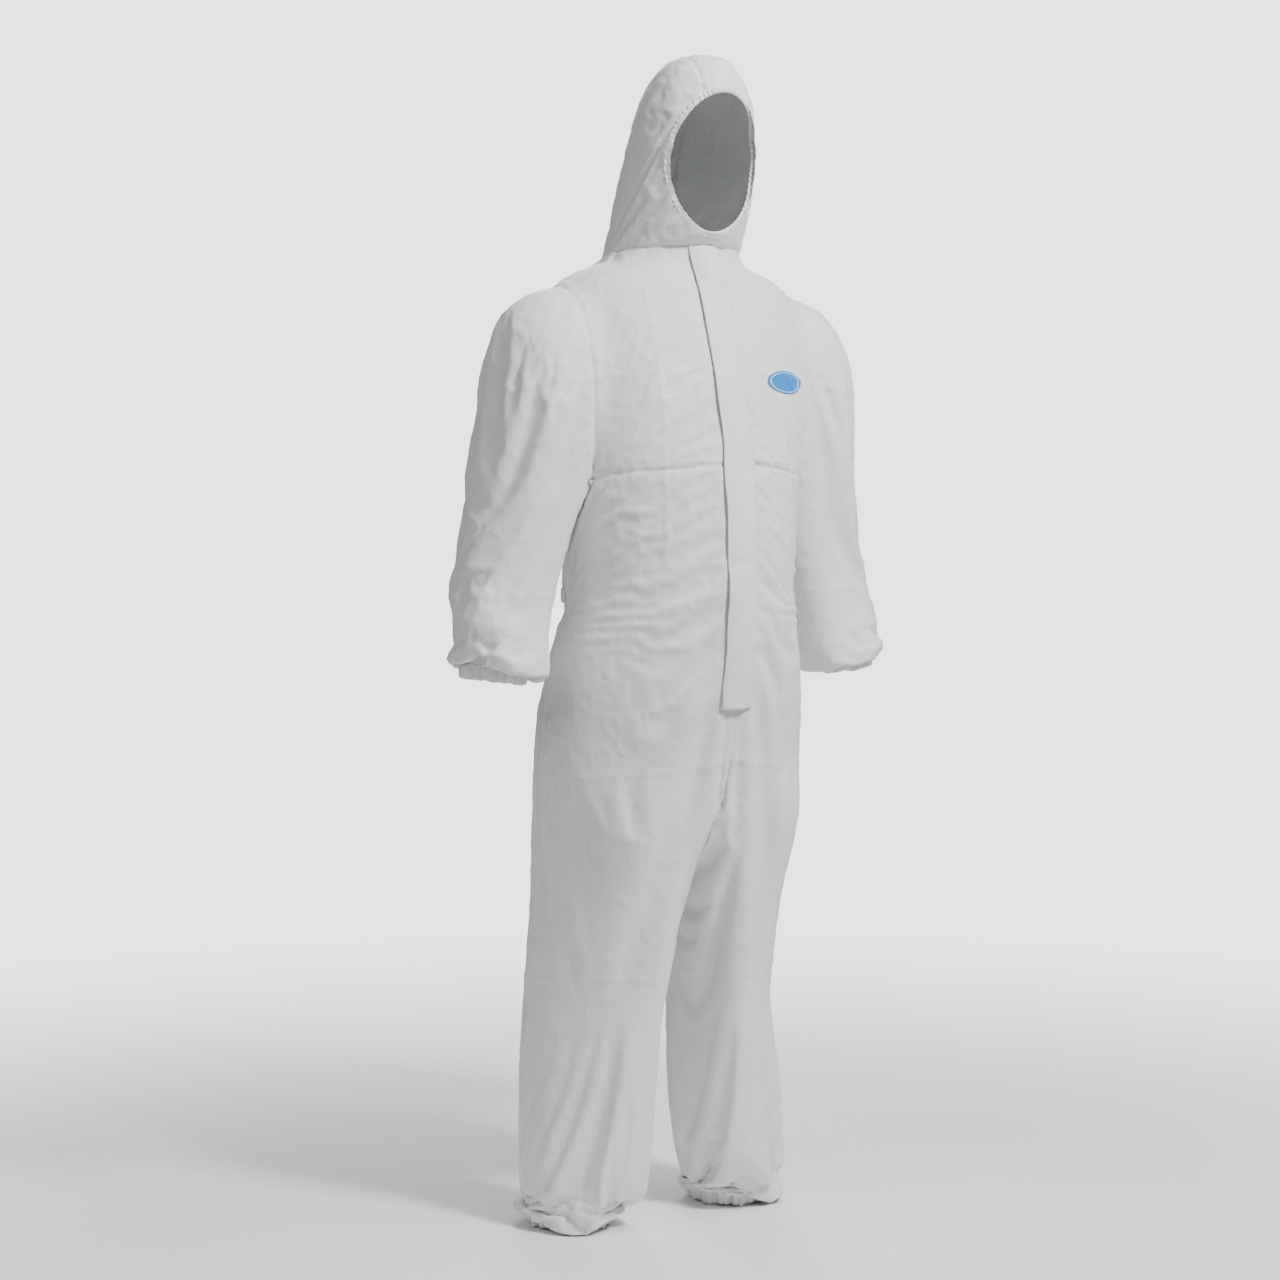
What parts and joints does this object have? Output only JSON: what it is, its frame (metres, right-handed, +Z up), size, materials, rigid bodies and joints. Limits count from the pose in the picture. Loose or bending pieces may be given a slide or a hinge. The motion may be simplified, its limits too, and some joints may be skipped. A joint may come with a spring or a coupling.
{
  "type": "chemical protective suit",
  "caption": "Hooded one-piece disposable coverall with an elasticated face opening, wrists and ankles, a front zip under a storm flap and a plain chest badge.",
  "frame": {"origin": "the neck seat, at the level where the yoke rests on the wearer's shoulders, on the suit's mid line", "axes": "+Z up, front towards -Y, the wearer's left towards +X"},
  "size_m": [0.738, 0.3712, 1.719],
  "materials": {
    "nonwoven": "matte",
    "hem_binding": "matte",
    "elastic": "matte",
    "badge_print": "satin",
    "zip_tape": "matte",
    "zip_coil": "satin",
    "slider_enamel": "satin",
    "adhesive": "satin",
    "release_liner": "satin"
  },
  "bodies": {
    "torso": {"front_upper_left": "nonwoven", "front_upper_right": "nonwoven", "front_lower_left": "nonwoven", "front_lower_right": "nonwoven", "back_upper": "nonwoven", "back_lower": "nonwoven", "waist_casing": "nonwoven", "waist_elastic": "elastic", "crotch_gusset": "nonwoven", "chest_badge": "badge_print", "leg_top_left": "nonwoven", "leg_top_right": "nonwoven", "zip_tape_left": "zip_tape", "zip_tape_right": "zip_tape", "zip_coil_left": "zip_coil", "zip_coil_right": "zip_coil", "zip_top_stops": "zip_coil", "zip_bottom_stop": "zip_coil"},
    "hood": {"hood_side_left": "nonwoven", "hood_side_right": "nonwoven", "hood_centre": "nonwoven", "hood_chin": "nonwoven", "face_hem": "hem_binding", "face_elastic": "elastic"},
    "sleeve_left": {"sleeve_left": "nonwoven", "wrist_hem_left": "nonwoven", "wrist_elastic_left": "elastic"},
    "thigh_left": {"thigh_left": "nonwoven"},
    "shin_left": {"shin_left": "nonwoven", "ankle_hem_left": "nonwoven", "ankle_elastic_left": "elastic"},
    "sleeve_right": {"sleeve_right": "nonwoven", "wrist_hem_right": "nonwoven", "wrist_elastic_right": "elastic"},
    "thigh_right": {"thigh_right": "nonwoven"},
    "shin_right": {"shin_right": "nonwoven", "ankle_hem_right": "nonwoven", "ankle_elastic_right": "elastic"},
    "slider": {"zip_slider": "slider_enamel"},
    "tab": {"pull_tab": "slider_enamel"},
    "flap": {"storm_flap": "nonwoven", "flap_adhesive": "adhesive", "flap_liner": "release_liner"}
  },
  "joints": [
    {"name": "hood_tilt", "type": "hinge", "parent": "torso", "child": "hood", "pos_m": [0, 0.022, -0.045], "axis": [-1, 0, 0], "range_deg": [0, 30]},
    {"name": "zip_travel", "type": "hinge", "parent": "torso", "child": "slider", "pos_m": [0, 0.928, -0.45], "axis": [1, 0, 0], "range_deg": [0, 32.93]},
    {"name": "tab_lift", "type": "hinge", "parent": "slider", "child": "tab", "pos_m": [0, -0.07654, 0.00699], "axis": [-1, 0, 0], "range_deg": [0, 12]},
    {"name": "flap_open", "type": "hinge", "parent": "torso", "child": "flap", "pos_m": [0.024, -0.17359, -0.30416], "axis": [0, 0.1312, 0.9913], "range_deg": [0, 100]},
    {"name": "sleeve_lift_left", "type": "hinge", "parent": "torso", "child": "sleeve_left", "pos_m": [0.19, 0.01, -0.03], "axis": [0, -1, 0], "range_deg": [0, 60]},
    {"name": "hip_left", "type": "hinge", "parent": "torso", "child": "thigh_left", "pos_m": [0.107, 0.015, -0.78], "axis": [-1, 0, 0], "range_deg": [-15, 45]},
    {"name": "knee_left", "type": "hinge", "parent": "thigh_left", "child": "shin_left", "pos_m": [0.119, 0.07, -1.02], "axis": [1, 0, 0], "range_deg": [0, 80]},
    {"name": "sleeve_lift_right", "type": "hinge", "parent": "torso", "child": "sleeve_right", "pos_m": [-0.19, 0.01, -0.03], "axis": [0, 1, 0], "range_deg": [0, 60]},
    {"name": "hip_right", "type": "hinge", "parent": "torso", "child": "thigh_right", "pos_m": [-0.107, 0.015, -0.78], "axis": [-1, 0, 0], "range_deg": [-15, 45]},
    {"name": "knee_right", "type": "hinge", "parent": "thigh_right", "child": "shin_right", "pos_m": [-0.119, 0.07, -1.02], "axis": [1, 0, 0], "range_deg": [0, 80]}
  ]
}
